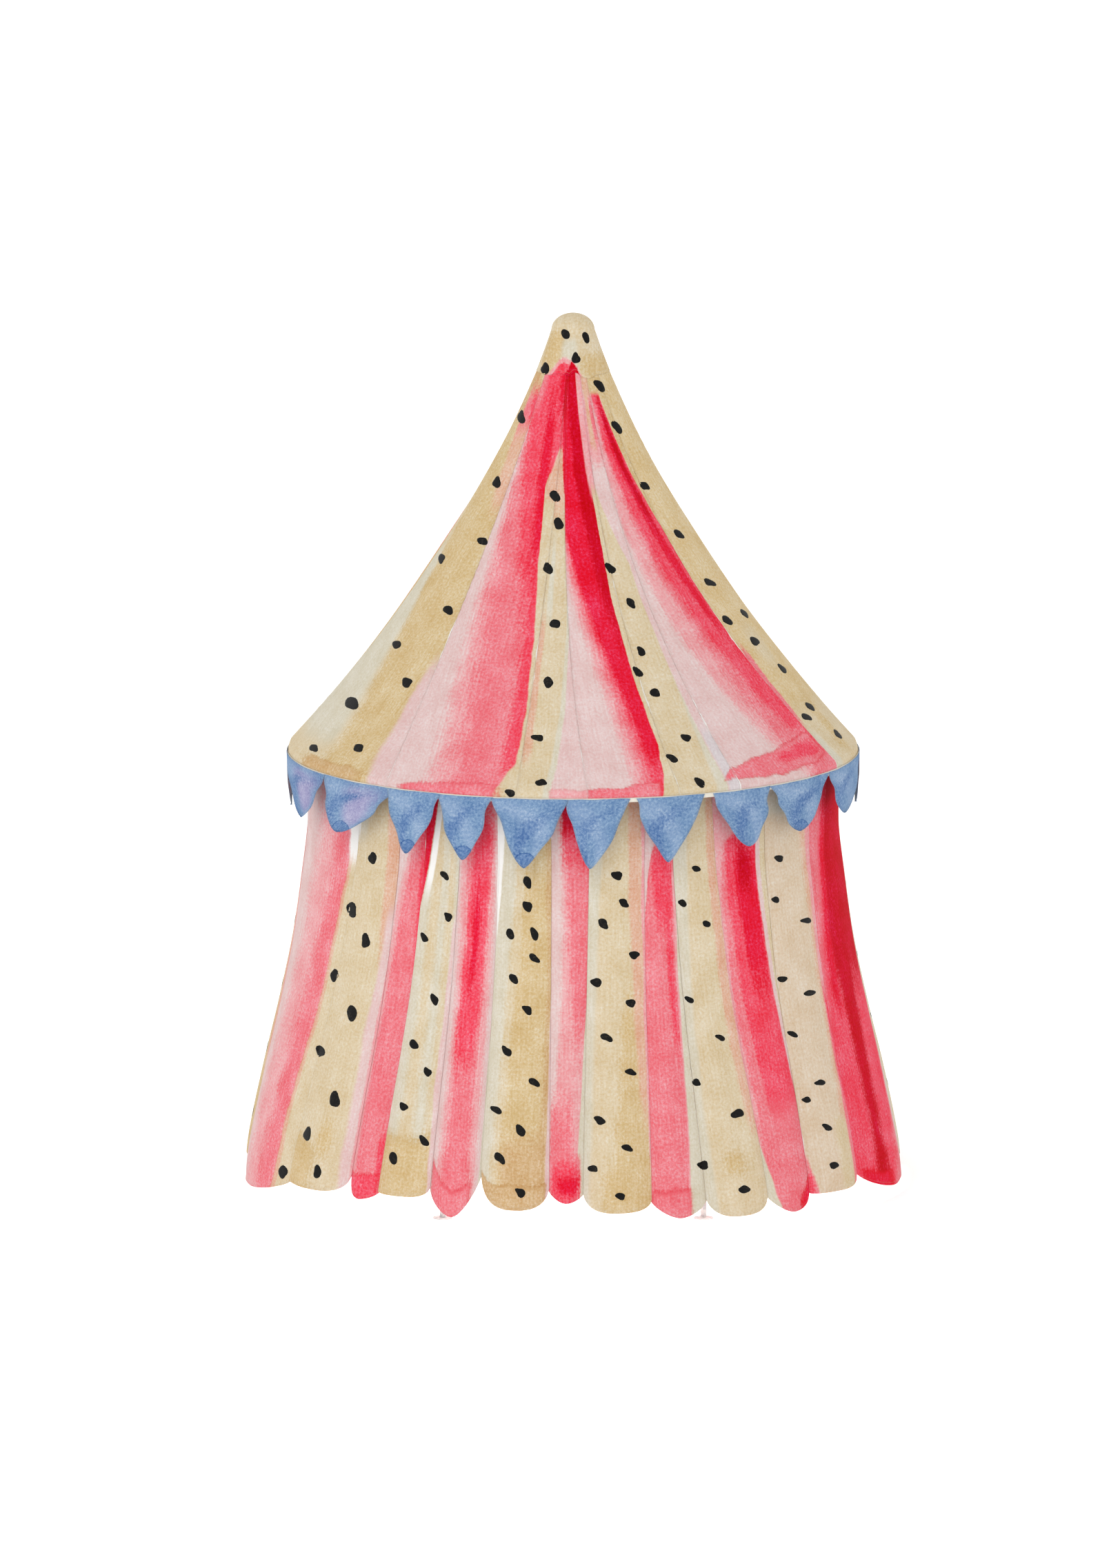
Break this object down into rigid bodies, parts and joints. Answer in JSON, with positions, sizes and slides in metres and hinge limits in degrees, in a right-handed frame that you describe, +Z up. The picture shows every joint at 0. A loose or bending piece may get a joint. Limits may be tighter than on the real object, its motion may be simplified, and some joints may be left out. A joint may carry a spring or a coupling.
{
  "type": "circus big top tent",
  "caption": "Round circus tent with a bell-shaped striped roof on a king pole, a ring of pennants at the eave and a flared wall of striped drapes.",
  "frame": {"origin": "on the ground at the middle of the king pole's foot, the centre of the round plan", "axes": "+Z up along the king pole, -Y towards the front that the picture shows, +X to the viewer's right"},
  "size_m": [5.2233, 5.2522, 7],
  "materials": {
    "red_canvas": "matte painted canvas",
    "cream_canvas": "matte painted canvas with hand-painted black spots",
    "blue_canvas": "matte painted canvas",
    "galvanised_steel": "dull galvanised",
    "painted_pole": "satin paint"
  },
  "bodies": {
    "root": {"king_pole": "painted_pole", "eave_hoop": "galvanised_steel", "crown_head": "galvanised_steel", "side_pole_1": "galvanised_steel", "side_pole_2": "galvanised_steel", "side_pole_3": "galvanised_steel", "side_pole_4": "galvanised_steel", "side_pole_5": "galvanised_steel", "side_pole_6": "galvanised_steel", "peak_cap": "cream_canvas", "pennant_valance": "blue_canvas", "roof_gore_01_cream": "cream_canvas", "roof_gore_02_red": "red_canvas", "roof_gore_03_cream": "cream_canvas", "roof_gore_04_red": "red_canvas", "roof_gore_05_cream": "cream_canvas", "roof_gore_06_red": "red_canvas", "roof_gore_07_cream": "cream_canvas", "roof_gore_08_red": "red_canvas", "roof_gore_09_cream": "cream_canvas", "roof_gore_10_red": "red_canvas", "roof_gore_11_cream": "cream_canvas", "roof_gore_12_red": "red_canvas", "wall_drape_01_red": "red_canvas", "wall_drape_02_cream": "cream_canvas", "wall_drape_03_red": "red_canvas", "wall_drape_04_cream": "cream_canvas", "wall_drape_05_red": "red_canvas", "wall_drape_06_cream": "cream_canvas", "wall_drape_07_red": "red_canvas", "wall_drape_08_cream": "cream_canvas", "wall_drape_09_red": "red_canvas", "wall_drape_10_cream": "cream_canvas", "wall_drape_11_red": "red_canvas", "wall_drape_12_cream": "cream_canvas", "wall_drape_13_red": "red_canvas", "wall_drape_14_cream": "cream_canvas", "wall_drape_15_red": "red_canvas", "wall_drape_16_cream": "cream_canvas", "wall_drape_17_red": "red_canvas", "wall_drape_18_cream": "cream_canvas", "wall_drape_19_red": "red_canvas", "wall_drape_20_cream": "cream_canvas", "wall_drape_21_red": "red_canvas", "wall_drape_22_cream": "cream_canvas"}
  },
  "joints": []
}
